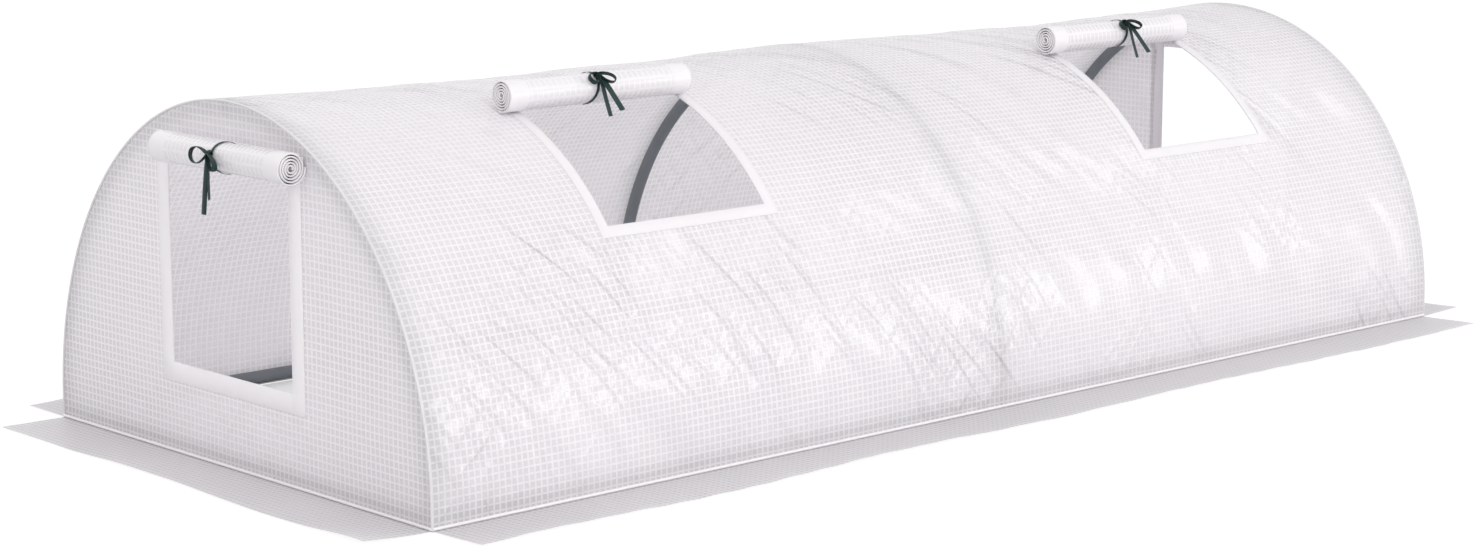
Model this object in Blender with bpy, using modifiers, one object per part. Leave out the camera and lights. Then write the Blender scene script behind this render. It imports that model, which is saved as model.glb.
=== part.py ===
"""A low tunnel greenhouse: a tube frame of three hoops under a white mesh-reinforced cover.

Run it with: blender --background --python part.py
Metres, +Z up. X runs along the tunnel with the front end at -X, and Y across it.
The origin is on the ground, under the middle of the tunnel.
Left and right are as seen by someone who looks in at the front door, so right is -Y.
"""

from math import atan2, cos, degrees, hypot, pi, radians, sin, sqrt

import bmesh
import bpy
from mathutils import Matrix, Vector

# Overall sizes of the cover
LENGTH = 2.4
HALF_WIDTH = 0.5
LEG_HEIGHT = 0.03
ARCH_RISE = 0.543
ARC_FACETS = 30
CREST_SAG = 0.008
CREST_SAG_POWER = 6

# Clearance between two pieces that touch
SEAT = 0.0003

# Sheets
COVER_THICKNESS = 0.002
TAPE_THICKNESS = 0.0012
DOOR_TAPE_WIDTH = 0.032
DOOR_TAPE_TOP = 0.018
WINDOW_TAPE_WIDTH = 0.0205
FLAP_THICKNESS = 0.0012
SKIRT_THICKNESS = 0.0012
SKIRT_WIDTH = 0.12
SKIRT_RIPPLE = 0.006
SKIRT_RIPPLE_LENGTH = 0.4

# Frame tubes and the plugs of their joints
TUBE_RADIUS = 0.011
TUBE_WALL = 0.001
TUBE_TO_COVER = 0.0005
FOOT_RISE = 0.006
PLUG_RADIUS = 0.0085
PLUG_LENGTH = 0.02
HUB_ROUNDING = 0.003
ROUND_SIDES = 12

# Beads along the edges of the end panels
BEAD_RADIUS = 0.002

# Door openings in the end panels
DOOR_WIDTH = 0.322
DOOR_SILL = 0.147
DOOR_HEAD_DROP = 0.028

# Window openings in the right side, as facets of the arch counted from its foot
WINDOW_WIDTH = 0.326
WINDOW_SHIFT = {"front": -0.006, "rear": 0.056}
WINDOW_SILL_FACET = 6.7
WINDOW_HEAD_FACET = 12

# Rolled flaps
ROLL_RADIUS = 0.0254
ROLL_CORE = 0.0055
FLAP_LENGTH = 0.44
DOOR_FLAP_HEAD = 0.014
WINDOW_FLAP_HEAD = 0.024
DOOR_FLAP_OVERLAP = 0.0125
WINDOW_FLAP_OVERLAP = 0.0245
DOOR_ROLL_SHIFT = 0.0375
WINDOW_ROLL_SHIFT = 0.016
ROLL_SEGMENTS_PER_TURN = 14
WINDOW_ROLL_FACET = 11.75
WINDOW_ROLL_LOW_FACET = 7.45

# Ribbon ties
RIBBON_WIDTH = 0.011
RIBBON_THICKNESS = 0.0008
KNOT_WIDTH = 0.013
KNOT_DEPTH = 0.0065
KNOT_ROUNDING = 0.0015
BOW_LENGTH = 0.036
BOW_DEPTH = 0.009
BOW_DROOPS = (22, 46)
BAND_SHIFT = 0.016
BAND_STEPS = 22
DOOR_KNOT_ANGLE = 194
WINDOW_KNOT_ANGLE = 160
WINDOW_TIE_SHIFT = {"front": 0.014, "rear": -0.012}
TAIL_LENGTHS = (0.092, 0.068)
TAIL_SPREAD = 0.006

# Colours
COVER_WHITE = (0.9, 0.9, 0.92)
TAPE_WHITE = (0.96, 0.96, 0.97)
SKIRT_GREY = (0.78, 0.78, 0.8)
FRAME_GREY = (0.11, 0.14, 0.15)
JOINT_BLACK = (0.03, 0.035, 0.035)
RIBBON_GREEN = (0.02, 0.09, 0.08)

# Sizes that follow from those above
HALF_LENGTH = LENGTH / 2
BAY = LENGTH / 2
SHELL_DEPTH = COVER_THICKNESS + TUBE_TO_COVER
HOOP_INSET = SHELL_DEPTH + TUBE_RADIUS
HOOP_Y = HALF_WIDTH - HOOP_INSET
HOOP_CREST = LEG_HEIGHT + ARCH_RISE - HOOP_INSET
HOOP_X = HALF_LENGTH - HOOP_INSET
HOOP_REACH = SHELL_DEPTH + 2 * TUBE_RADIUS
RAIL_HEIGHT = TUBE_RADIUS + FOOT_RISE
TUBE_END = TUBE_RADIUS + SEAT
PLUG_REACH = TUBE_RADIUS + PLUG_LENGTH
FACET = pi / ARC_FACETS
HINGE_STEP = SKIRT_THICKNESS / 2 + SEAT
DOOR_ROLL_LENGTH = DOOR_WIDTH + 2 * DOOR_FLAP_OVERLAP
WINDOW_ROLL_LENGTH = WINDOW_WIDTH + 2 * WINDOW_FLAP_OVERLAP
DOOR_ROLL_REACH = DOOR_ROLL_LENGTH / 2 + DOOR_ROLL_SHIFT
DOOR_HEAD = LEG_HEIGHT + ARCH_RISE * sqrt(1 - (DOOR_ROLL_REACH / HALF_WIDTH) ** 2) - DOOR_HEAD_DROP
TAPE_TOP = SEAT + TAPE_THICKNESS
FLAP_LINE = TAPE_TOP + SEAT + FLAP_THICKNESS / 2
ROLL_PITCH = pi * (ROLL_RADIUS**2 - ROLL_CORE**2) / FLAP_LENGTH
ROLL_TURNS = (ROLL_RADIUS - ROLL_CORE) / ROLL_PITCH

ALONG = Vector((1, 0, 0))
ACROSS = Vector((0, 1, 0))
UP = Vector((0, 0, 1))


def clear_scene():
    for old in list(bpy.data.objects):
        bpy.data.objects.remove(old)


def new_collection(name):
    collection = bpy.data.collections.new(name)
    bpy.context.scene.collection.children.link(collection)
    return collection


def plain_material(name, colour, roughness, metallic=0.0):
    material = bpy.data.materials.new(name)
    material.use_nodes = True
    shader = material.node_tree.nodes["Principled BSDF"]
    shader.inputs["Base Color"].default_value = (*colour, 1)
    shader.inputs["Roughness"].default_value = roughness
    shader.inputs["Metallic"].default_value = metallic
    return material


def add_object(name, data, material, collection):
    item = bpy.data.objects.new(name, data)
    if material is not None:
        item.data.materials.clear()
        item.data.materials.append(material)
    collection.objects.link(item)
    return item


def add_helper(name, data):
    """An operand of a Boolean: it is drawn as wires and is no piece of the greenhouse."""
    helper = add_object(name, data, None, HELPERS)
    helper.hide_render = True
    helper.display_type = "WIRE"
    return helper


def join_to(piece, helper):
    boolean = piece.modifiers.new("join " + helper.name, "BOOLEAN")
    boolean.operation = "UNION"
    boolean.solver = "EXACT"
    boolean.object = helper


def thicken(piece, thickness, offset):
    """Gives an open sheet its thickness: offset -1 grows it behind its faces, 0 both ways."""
    solidify = piece.modifiers.new("thickness", "SOLIDIFY")
    solidify.thickness = thickness
    solidify.offset = offset
    solidify.use_even_offset = True
    return solidify


# The arch, a half ellipse on two short legs


def arch_corner(number, inset=0.0):
    """(y, z, outward y, outward z) of a corner of the arch, from the right foot over to the left."""
    angle = FACET * number
    out_y, out_z = -ARCH_RISE * cos(angle), HALF_WIDTH * sin(angle)
    steep = hypot(out_y, out_z)
    out_y, out_z = out_y / steep, out_z / steep
    y = -HALF_WIDTH * cos(angle) - out_y * inset
    z = LEG_HEIGHT + ARCH_RISE * sin(angle) - out_z * inset
    return y, z, out_y, out_z


def facet_width(facet):
    """How wide the facets of the arch are at a place on it."""
    angle = FACET * facet
    return FACET * hypot(HALF_WIDTH * sin(angle), ARCH_RISE * cos(angle))


# The frame


def tube(name, points):
    """A hollow tube, open at both ends, that follows the points."""
    curve = bpy.data.curves.new(name, "CURVE")
    curve.dimensions = "3D"
    curve.bevel_depth = TUBE_RADIUS
    curve.bevel_resolution = (ROUND_SIDES - 4) // 2
    curve.use_fill_caps = False
    spline = curve.splines.new("POLY")
    spline.points.add(len(points) - 1)
    for place, point in zip(spline.points, points):
        place.co = (*point, 1)
    piece = add_object(name, curve, FRAME_PAINT, GREENHOUSE)
    thicken(piece, TUBE_WALL, -1)
    return piece


def crest_way(side):
    """The way down from the crest along the topmost facet of a hoop."""
    y, z = arch_corner(ARC_FACETS // 2 - 1, HOOP_INSET)[:2]
    return Vector((0, -side * y, z - HOOP_CREST)).normalized()


def hoop_half(name, x, side):
    """One half of a hoop: a short leg, then half an arch that stops short of the crest."""
    points = [Vector((x, side * HOOP_Y, RAIL_HEIGHT + TUBE_END))]
    for number in range(ARC_FACETS // 2):
        y, z = arch_corner(number, HOOP_INSET)[:2]
        points.append(Vector((x, -side * y, z)))
    way = crest_way(side)
    points.append(Vector((x, 0, HOOP_CREST)) + way * (TUBE_END - TUBE_RADIUS * way.z))
    return tube(name, points)


def straight_tube(name, start, end):
    """A tube between the middles of two hubs, short of each by half a hub."""
    way = (end - start).normalized() * TUBE_END
    return tube(name, [start + way, end - way])


def rounded_block(name, width, depth, height, rounding, material):
    block = bmesh.new()
    bmesh.ops.create_cube(block, size=1)
    bmesh.ops.scale(block, vec=(width, depth, height), verts=block.verts)
    mesh = bpy.data.meshes.new(name)
    block.to_mesh(mesh)
    block.free()
    piece = add_object(name, mesh, material, GREENHOUSE)
    bevel = piece.modifiers.new("rounding", "BEVEL")
    bevel.width = rounding
    bevel.segments = 2
    return piece


def hub(name, centre, ways, foot=0.0):
    """A moulded joint: a rounded block with a plug for each way, which goes up the bore of a tube.

    A foot makes the block longer below.
    """
    size = 2 * TUBE_RADIUS
    piece = rounded_block(name, size, size, size + foot, HUB_ROUNDING, JOINT_PLASTIC)
    piece.location = centre - UP * (foot / 2)
    for number, way in enumerate(ways, 1):
        plug = add_helper(f"{name} plug {number}", PLUG_MESH)
        plug.location = centre + way * (PLUG_REACH / 2)
        plug.rotation_mode = "QUATERNION"
        plug.rotation_quaternion = UP.rotation_difference(way)
        join_to(piece, plug)
    return piece


def plug_mesh():
    shape = bmesh.new()
    bmesh.ops.create_cone(
        shape, cap_ends=True, segments=ROUND_SIDES, radius1=PLUG_RADIUS, radius2=PLUG_RADIUS, depth=PLUG_REACH
    )
    mesh = bpy.data.meshes.new("plug")
    shape.to_mesh(mesh)
    shape.free()
    return mesh


def build_frame():
    places = {"front": -HOOP_X, "middle": 0.0, "rear": HOOP_X}
    sides = {"left": 1, "right": -1}
    inward = {"front": [ALONG], "middle": [ALONG, -ALONG], "rear": [-ALONG]}
    for place, x in places.items():
        for side, sign in sides.items():
            hoop_half(f"hoop_{place}_{side}", x, sign)
            foot = Vector((x, sign * HOOP_Y, RAIL_HEIGHT))
            ways = [UP] + inward[place]
            if place != "middle":
                ways.append(-sign * ACROSS)
            hub(f"foot_joint_{place}_{side}", foot, ways, FOOT_RISE)
        crest = Vector((x, 0, HOOP_CREST))
        hub(f"crest_joint_{place}", crest, [crest_way(1), crest_way(-1)])
    for part, start, end in (("front", "front", "middle"), ("rear", "middle", "rear")):
        for side, sign in sides.items():
            straight_tube(
                f"base_rail_{side}_{part}",
                Vector((places[start], sign * HOOP_Y, RAIL_HEIGHT)),
                Vector((places[end], sign * HOOP_Y, RAIL_HEIGHT)),
            )
    for place in ("front", "rear"):
        straight_tube(
            f"ground_bar_{place}",
            Vector((places[place], -HOOP_Y, RAIL_HEIGHT)),
            Vector((places[place], HOOP_Y, RAIL_HEIGHT)),
        )


# The cover


def bay_share(x):
    """How far along its bay a place is, from the edge of one hoop (0) to the edge of the next (1)."""
    share = (abs(x) - TUBE_RADIUS) / (HALF_LENGTH - HOOP_REACH - TUBE_RADIUS)
    return min(max(share, 0.0), 1.0)


def sag(x, number):
    """How far the cover hangs below the arch, between two hoops and near the crest."""
    along = sin(pi * bay_share(x))
    return CREST_SAG * along * max(sin(FACET * number), 0.0) ** CREST_SAG_POWER


def cover_corner(x, number, lift):
    """A corner of the cover, lifted off its outside. Corners below 0 and above ARC_FACETS are on the ground."""
    if number < 0 or number > ARC_FACETS:
        side = -1 if number < 0 else 1
        return Vector((x, side * (HALF_WIDTH + lift), 0))
    y, z, out_y, out_z = arch_corner(number)
    drop = sag(x, number) - lift
    return Vector((x, y - out_y * drop, z - out_z * drop))


def cover_point(x, facet, lift=0.0):
    """A point on the flat facets between corners, so that what lies on the cover follows it."""
    stations = cover_stations()
    low_x = max(station for station in stations if station <= x + 1e-9)
    high_x = min(station for station in stations if station >= x - 1e-9)
    low = facet // 1
    ends = []
    for station in (low_x, high_x):
        here = cover_corner(station, low, lift)
        ends.append(here.lerp(cover_corner(station, low + 1, lift), facet - low))
    share = 0 if high_x == low_x else (x - low_x) / (high_x - low_x)
    return ends[0].lerp(ends[1], share)


def cover_stations():
    """The places along the tunnel where the cover bends: four to each bay, and the edges of the hoops."""
    reach = HALF_LENGTH - HOOP_REACH
    half = [TUBE_RADIUS + (reach - TUBE_RADIUS) * step / 4 for step in range(5)] + [HALF_LENGTH]
    return [-x for x in reversed(half)] + half


def merged(*lists):
    """The values of several lists in order, each once."""
    return sorted({round(value, 7) for values in lists for value in values})


def grid_sheet(name, rows, columns, place, keep, material, thickness, offset):
    """A sheet on rows and columns of values: place(row, column) gives each point, keep says which cells stay."""
    sheet = bmesh.new()
    bmesh.ops.create_grid(sheet, x_segments=len(rows) - 1, y_segments=len(columns) - 1, size=0.5)
    last_row, last_column = len(rows) - 1, len(columns) - 1
    cells = {}
    for vert in sheet.verts:
        cells[vert] = (round((vert.co.x + 0.5) * last_row), round((vert.co.y + 0.5) * last_column))
    gone = []
    for face in sheet.faces:
        row = sum(cells[vert][0] for vert in face.verts) / 4
        column = sum(cells[vert][1] for vert in face.verts) / 4
        middle_row = (rows[int(row)] + rows[int(row) + 1]) / 2
        middle_column = (columns[int(column)] + columns[int(column) + 1]) / 2
        if not keep(middle_row, middle_column):
            gone.append(face)
    for vert, (row, column) in cells.items():
        vert.co = place(rows[row], columns[column])
    bmesh.ops.delete(sheet, geom=gone, context="FACES")
    mesh = bpy.data.meshes.new(name)
    sheet.to_mesh(mesh)
    sheet.free()
    mesh.shade_smooth()
    piece = add_object(name, mesh, material, GREENHOUSE)
    thicken(piece, thickness, offset)
    return piece


def window_middle(place):
    """Where a window is along the tunnel: near the middle of its bay."""
    return BAY / 2 * (-1 if place == "front" else 1) + WINDOW_SHIFT[place]


def window_span(place):
    return window_middle(place) - WINDOW_WIDTH / 2, window_middle(place) + WINDOW_WIDTH / 2


def in_window(x, facet):
    if not WINDOW_SILL_FACET < facet < WINDOW_HEAD_FACET:
        return False
    return any(window_span(place)[0] < x < window_span(place)[1] for place in ("front", "rear"))


def tunnel_cover():
    rows = merged(cover_stations(), window_span("front"), window_span("rear"))
    columns = merged(range(-1, ARC_FACETS + 2), [WINDOW_SILL_FACET, WINDOW_HEAD_FACET])
    grid_sheet(
        "tunnel_cover",
        rows,
        columns,
        cover_point,
        lambda x, facet: not in_window(x, facet),
        COVER_FILM,
        COVER_THICKNESS,
        -1,
    )


def window_tape(place):
    """The white tape welded round a window, on the outside of the cover."""
    left, right = window_span(place)
    low = WINDOW_SILL_FACET - WINDOW_TAPE_WIDTH / facet_width(WINDOW_SILL_FACET)
    high = WINDOW_HEAD_FACET + WINDOW_TAPE_WIDTH / facet_width(WINDOW_HEAD_FACET)
    between = [facet for facet in range(ARC_FACETS) if low < facet < high]
    ends = [left - WINDOW_TAPE_WIDTH, right + WINDOW_TAPE_WIDTH]
    stations = [x for x in cover_stations() if ends[0] < x < ends[1]]
    grid_sheet(
        f"window_tape_{place}",
        merged(ends, [left, right], stations),
        merged([low, WINDOW_SILL_FACET, WINDOW_HEAD_FACET, high], between),
        lambda x, facet: cover_point(x, facet, SEAT),
        lambda x, facet: not in_window(x, facet),
        TAPE,
        TAPE_THICKNESS,
        1,
    )


def flat_outline(name, outlines, thickness, material):
    """A flat sheet in the YZ plane, cut to closed outlines: the first is its edge, the others are holes."""
    curve = bpy.data.curves.new(name, "CURVE")
    curve.dimensions = "2D"
    curve.fill_mode = "BOTH"
    curve.extrude = thickness / 2
    for outline in outlines:
        spline = curve.splines.new("POLY")
        spline.points.add(len(outline) - 1)
        spline.use_cyclic_u = True
        for place, (y, z) in zip(spline.points, outline):
            place.co = (y, z, 0, 1)
    piece = add_object(name, curve, material, GREENHOUSE)
    # Turns the curve's own X to +Y and its Y to +Z.
    piece.matrix_world = Matrix(((0, 0, 1, 0), (1, 0, 0, 0), (0, 1, 0, 0), (0, 0, 0, 1)))
    return piece


def door_outline(margin=0.0, margin_top=0.0):
    side = DOOR_WIDTH / 2 + margin
    low, high = DOOR_SILL - margin, DOOR_HEAD + margin_top
    return [(-side, low), (side, low), (side, high), (-side, high)]


def end_panel(place, sign):
    inset = COVER_THICKNESS + SEAT
    arch = [arch_corner(number, inset)[:2] for number in range(ARC_FACETS + 1)]
    foot = HALF_WIDTH - inset
    edge = [(-foot, 0)] + arch + [(foot, 0)]
    panel = flat_outline(f"end_panel_{place}", [edge, door_outline()], COVER_THICKNESS, COVER_FILM)
    panel.location.x = sign * (HALF_LENGTH - COVER_THICKNESS / 2)
    outlines = [door_outline(DOOR_TAPE_WIDTH, DOOR_TAPE_TOP), door_outline()]
    tape = flat_outline(f"door_tape_{place}", outlines, TAPE_THICKNESS, TAPE)
    tape.location.x = sign * (HALF_LENGTH + SEAT + TAPE_THICKNESS / 2)


def end_bead(place, sign):
    """The round bead of the seam between an end panel and the tunnel, on the panel's outside."""
    inset = COVER_THICKNESS + BEAD_RADIUS
    low = SKIRT_THICKNESS + 2 * SEAT
    arch = [arch_corner(number, inset)[:2] for number in range(ARC_FACETS + 1)]
    foot = HALF_WIDTH - inset
    curve = bpy.data.curves.new(f"end_bead_{place}", "CURVE")
    curve.dimensions = "3D"
    curve.bevel_depth = BEAD_RADIUS
    curve.bevel_resolution = 1
    curve.use_fill_caps = True
    path = [(-foot, low)] + arch + [(foot, low)]
    spline = curve.splines.new("POLY")
    spline.points.add(len(path) - 1)
    for spot, (y, z) in zip(spline.points, path):
        spot.co = (0, y, z, 1)
    piece = add_object(f"end_bead_{place}", curve, TAPE, GREENHOUSE)
    piece.location.x = sign * (HALF_LENGTH + SEAT + BEAD_RADIUS)


# The skirts that lie on the ground


def skirt(name, length, middle, out, run):
    """A flap that turns on the foot of a wall: out points away from the wall, run along it."""
    steps = round(length / SKIRT_RIPPLE_LENGTH) * 4
    turns = round(length / SKIRT_RIPPLE_LENGTH)

    def place(along, away):
        ripple = SKIRT_RIPPLE * (1 + cos(2 * pi * turns * along)) / 2
        return run * (along - 0.5) * length + out * away * (SKIRT_WIDTH - ripple)

    piece = grid_sheet(
        name,
        [step / steps for step in range(steps + 1)],
        [0.0, 1.0],
        place,
        lambda along, away: True,
        SKIRT_FILM,
        SKIRT_THICKNESS,
        0,
    )
    piece.location = middle + out * HINGE_STEP + UP * (SKIRT_THICKNESS / 2)
    return piece


# The rolled flaps and their ties


class Seat:
    """Where a roll lies: a point on the wall, the way out of the wall, down it, and along the roll."""

    def __init__(self, point, out, down, along, knot_angle):
        self.point, self.out, self.down, self.along = point, out, down, along
        self.knot_angle = radians(knot_angle)

    def moved(self, along):
        """The same seat further along the roll, where its tie goes round it."""
        return Seat(self.at(0, 0, along), self.out, self.down, self.along, degrees(self.knot_angle))

    def at(self, out, down, along=0.0):
        return self.point + self.out * out + self.down * down + self.along * along

    def round_roll(self, angle, clear, along=0.0):
        """A point round the roll: the angle is from the wall side, by way of the lower side."""
        radius = roll_radius_at(angle) + clear
        return self.at(FLAP_LINE + ROLL_RADIUS - radius * cos(angle), radius * sin(angle), along)

    def outward(self, angle):
        """The way out of the roll at an angle."""
        return self.down * sin(angle) - self.out * cos(angle)


def roll_radius_at(angle):
    return ROLL_RADIUS - ROLL_PITCH * angle / (2 * pi)


def door_seat(sign):
    point = Vector((sign * HALF_LENGTH, sign * DOOR_ROLL_SHIFT, DOOR_HEAD))
    return Seat(point, sign * ALONG, -UP, sign * ACROSS, DOOR_KNOT_ANGLE)


def window_seat(place, facet=WINDOW_ROLL_FACET):
    """The seat of a window's roll, clear of the corners of the cover under its whole length."""
    x = window_middle(place) - WINDOW_ROLL_SHIFT
    ends = (x - WINDOW_ROLL_LENGTH / 2, x + WINDOW_ROLL_LENGTH / 2)
    y, z, out_y, out_z = arch_corner(facet, min(cover_drop(end, facet) for end in ends))
    return Seat(
        Vector((x, y, z)), Vector((0, out_y, out_z)), Vector((0, -out_z, out_y)), -ALONG, WINDOW_KNOT_ANGLE
    )


def cover_drop(x, facet):
    """How far the cover is inside the arch, at the height of a facet's corners."""
    stations = cover_stations()
    low = max(station for station in stations if station <= x)
    high = min(station for station in stations if station >= x)
    share = (x - low) / (high - low) if high > low else 0
    return sag(low, facet) * (1 - share) + sag(high, facet) * share


def circle_centre(a, b, c):
    """The centre of the circle through three points of a YZ plane."""
    first, second = b - a, c - a
    twice = 2 * (first.y * second.z - first.z * second.y)
    y = (second.z * first.length_squared - first.z * second.length_squared) / twice
    z = (first.y * second.length_squared - second.y * first.length_squared) / twice
    return Vector((a.x, a.y + y, a.z + z))


def window_hinge(place):
    """The axis about which a window's roll comes down, so that it keeps off the sagging cover."""
    facets = [WINDOW_ROLL_FACET, (WINDOW_ROLL_FACET + WINDOW_ROLL_LOW_FACET) / 2, WINDOW_ROLL_LOW_FACET]
    centres = [window_seat(place, facet).at(FLAP_LINE + ROLL_RADIUS, 0) for facet in facets]
    axis = circle_centre(*centres)
    top, low = centres[0] - axis, centres[-1] - axis
    drop = degrees(atan2(top.z, -top.y) - atan2(low.z, -low.y))
    print(f"window hinge {place}: y {axis.y:.4f}, z {axis.z:.4f}, drop {drop:.1f} degrees, arm {top.length:.4f}")
    return axis


def roll_path():
    """The flap's middle line as (out, down) pairs, from the end of its head strip to the core."""
    steps = round(ROLL_TURNS * ROLL_SEGMENTS_PER_TURN)
    path = []
    for step in range(steps + 1):
        angle = 2 * pi * ROLL_TURNS * step / steps
        radius = roll_radius_at(angle)
        path.append((FLAP_LINE + ROLL_RADIUS - radius * cos(angle), radius * sin(angle)))
    return path


def check_turns(path):
    """Prints the least gap between one turn of a roll and another, measured from point to line."""
    points = [Vector((out, down, 0)) for out, down in path]
    least = ROLL_RADIUS
    for number, point in enumerate(points):
        for other in range(len(points) - 1):
            if abs(other - number) < ROLL_SEGMENTS_PER_TURN // 2:
                continue
            start, end = points[other], points[other + 1]
            side = end - start
            share = min(max((point - start).dot(side) / side.length_squared, 0), 1)
            least = min(least, (point - start - side * share).length)
    print(f"least gap between turns of a roll: {(least - FLAP_THICKNESS) * 1000:.2f} mm")


def hang_on_axis(name, axis, pieces):
    """Puts the pieces of a moving body under an empty on the axis of its joint."""
    empty = add_object(name, None, None, GREENHOUSE)
    empty.location = axis
    for piece in pieces:
        piece.parent = empty
        piece.matrix_parent_inverse = Matrix.Translation(-axis)


def rolled_flap(name, seat, length):
    path = roll_path()
    check_turns(path)
    return grid_sheet(
        name,
        list(range(len(path))),
        [-length / 2, length / 2],
        lambda number, along: seat.at(*path[number], along),
        lambda number, along: True,
        TAPE,
        FLAP_THICKNESS,
        0,
    )


def door_flap_head(name, seat):
    """The flat head of a door's flap, sewn over the tape: the roll hangs on it."""
    grid_sheet(
        name,
        [-DOOR_ROLL_LENGTH / 2, DOOR_ROLL_LENGTH / 2],
        [-DOOR_FLAP_HEAD, -SEAT],
        lambda along, down: seat.at(FLAP_LINE, down, along),
        lambda along, down: True,
        TAPE,
        FLAP_THICKNESS,
        0,
    )


def window_flap_head(name, place):
    """The head of a window's flap, which lies along the tape and follows the cover."""
    middle = window_middle(place) - WINDOW_ROLL_SHIFT
    ends = [middle - WINDOW_ROLL_LENGTH / 2, middle + WINDOW_ROLL_LENGTH / 2]
    stations = [x for x in cover_stations() if ends[0] < x < ends[1]]
    width = facet_width(WINDOW_ROLL_FACET)
    low, high = WINDOW_ROLL_FACET + SEAT / width, WINDOW_ROLL_FACET + WINDOW_FLAP_HEAD / width
    corners = [facet for facet in range(ARC_FACETS) if low < facet < high]
    grid_sheet(
        name,
        merged(ends, stations),
        merged([low, high], corners),
        lambda x, facet: cover_point(x, facet, TAPE_TOP + SEAT),
        lambda x, facet: True,
        TAPE,
        FLAP_THICKNESS,
        1,
    )


def ribbon(name, points, widths):
    """A flat ribbon along points, to be joined to a knot: widths are the vectors across it."""
    strip = bmesh.new()
    last = len(points) - 1
    bmesh.ops.create_grid(strip, x_segments=last, y_segments=1, size=0.5)
    for vert in strip.verts:
        number = round((vert.co.x + 0.5) * last)
        vert.co = points[number] + widths[number] * vert.co.y
    mesh = bpy.data.meshes.new(name)
    strip.to_mesh(mesh)
    strip.free()
    helper = add_helper(name, mesh)
    thicken(helper, RIBBON_THICKNESS, 0)
    return helper


def band_points(seat):
    """Round the roll, from just below the wall side to just short of the head strip above it."""
    clear = FLAP_THICKNESS / 2 + SEAT + RIBBON_THICKNESS / 2
    points = []
    for step in range(BAND_STEPS + 1):
        angle = radians(24 + (330 - 24) * step / BAND_STEPS)
        shift = BAND_SHIFT * (1 - cos(angle - seat.knot_angle)) / 2
        points.append(seat.round_roll(angle, clear, shift))
    return points


def bow_points(seat, knot, side, droop):
    """One loop of the bow: out beside the knot and back above itself, drooping down the roll."""
    out = seat.outward(seat.knot_angle)
    hang = (out * out.z - UP).normalized()
    way = seat.along * side * cos(droop) + hang * sin(droop)
    base = KNOT_DEPTH * (0.24 + 0.05 * side)
    points = []
    steps = 12
    for step in range(steps + 1):
        angle = 2 * pi * step / steps
        reach = KNOT_WIDTH / 4 + BOW_LENGTH * (1 - cos(angle)) / 2
        lift = BOW_DEPTH * (-sin(angle) * (1 - cos(angle)) / 2.6 - 0.12 * cos(angle / 2))
        points.append(knot + way * reach + out * (base + lift))
    return points, way.cross(out).normalized() * RIBBON_WIDTH


def tail_points(seat, length, spread, leave_angle, fall):
    """A tail of the bow: over the roll from the knot, then straight on the way it falls."""
    clear = FLAP_THICKNESS / 2 + SEAT + KNOT_DEPTH * (0.32 + 0.1 * spread / TAIL_SPREAD)
    turn = leave_angle - seat.knot_angle
    steps = round(abs(turn) / radians(9))
    points = [seat.round_roll(seat.knot_angle, clear)]
    for step in range(steps):
        points.append(seat.round_roll(seat.knot_angle + turn * (step + 1) / steps, clear))
    used = sum((end - start).length for start, end in zip(points, points[1:]))
    start = points[-1]
    for share in (0.5, 1.0):
        points.append(start + fall * (length - used) * share)
    total = len(points) - 1
    return [point + seat.along * spread * (number / total) for number, point in enumerate(points)]


def ribbon_tie(name, seat, leaves):
    """A ribbon round a roll, tied in a bow with two tails; leaves are where and how each tail falls."""
    out = seat.outward(seat.knot_angle)
    depth = FLAP_THICKNESS / 2 + SEAT + KNOT_DEPTH / 2
    knot = seat.round_roll(seat.knot_angle, depth)
    tie = rounded_block(name, KNOT_WIDTH, KNOT_DEPTH, KNOT_WIDTH, KNOT_ROUNDING, RIBBON)
    turn = Matrix((seat.along, out, seat.along.cross(out))).transposed()
    tie.matrix_world = turn.to_4x4()
    tie.location = knot
    band = band_points(seat)
    across = seat.along * RIBBON_WIDTH
    strips = [ribbon(name + " band", band, [across] * len(band))]
    for side, droop in zip((-1, 1), BOW_DROOPS):
        points, width = bow_points(seat, knot, side, radians(droop))
        strips.append(ribbon(f"{name} loop {side}", points, [width] * len(points)))
    for number, (leave_angle, fall) in enumerate(leaves):
        spread = TAIL_SPREAD * (1 if number else -1)
        points = tail_points(seat, TAIL_LENGTHS[number], spread, leave_angle, fall)
        strips.append(ribbon(f"{name} tail {number + 1}", points, [across] * len(points)))
    for strip in strips:
        join_to(tie, strip)
    return tie


def build_flaps():
    for place, sign in (("front", -1), ("rear", 1)):
        seat = door_seat(sign)
        door_flap_head(f"door_flap_head_{place}", seat)
        roll = rolled_flap(f"door_roll_{place}", seat, DOOR_ROLL_LENGTH)
        leaves = [(seat.knot_angle, -UP), (seat.knot_angle, -UP)]
        tie = ribbon_tie(f"door_tie_{place}", seat, leaves)
        hang_on_axis(f"door slide {place}", seat.at(FLAP_LINE + ROLL_RADIUS, 0), [roll, tie])
        seat = window_seat(place)
        window_flap_head(f"window_flap_head_{place}", place)
        roll = rolled_flap(f"window_roll_{place}", seat, WINDOW_ROLL_LENGTH)
        level = atan2(seat.out.z, seat.down.z)
        leaves = [(level, -UP), (radians(125), seat.down)]
        tie = ribbon_tie(f"window_tie_{place}", seat.moved(WINDOW_TIE_SHIFT[place]), leaves)
        hang_on_axis(f"window hinge {place}", window_hinge(place), [roll, tie])


def main():
    build_frame()
    tunnel_cover()
    for place, sign in (("front", -1), ("rear", 1)):
        end_panel(place, sign)
        end_bead(place, sign)
        window_tape(place)
        middle = Vector((sign * HALF_LENGTH, 0, 0))
        skirt(f"skirt_{place}", 2 * HALF_WIDTH, middle, sign * ALONG, sign * ACROSS)
    for side, sign in (("left", 1), ("right", -1)):
        middle = Vector((0, sign * HALF_WIDTH, 0))
        skirt(f"skirt_{side}", LENGTH, middle, sign * ACROSS, -sign * ALONG)
    build_flaps()


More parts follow.
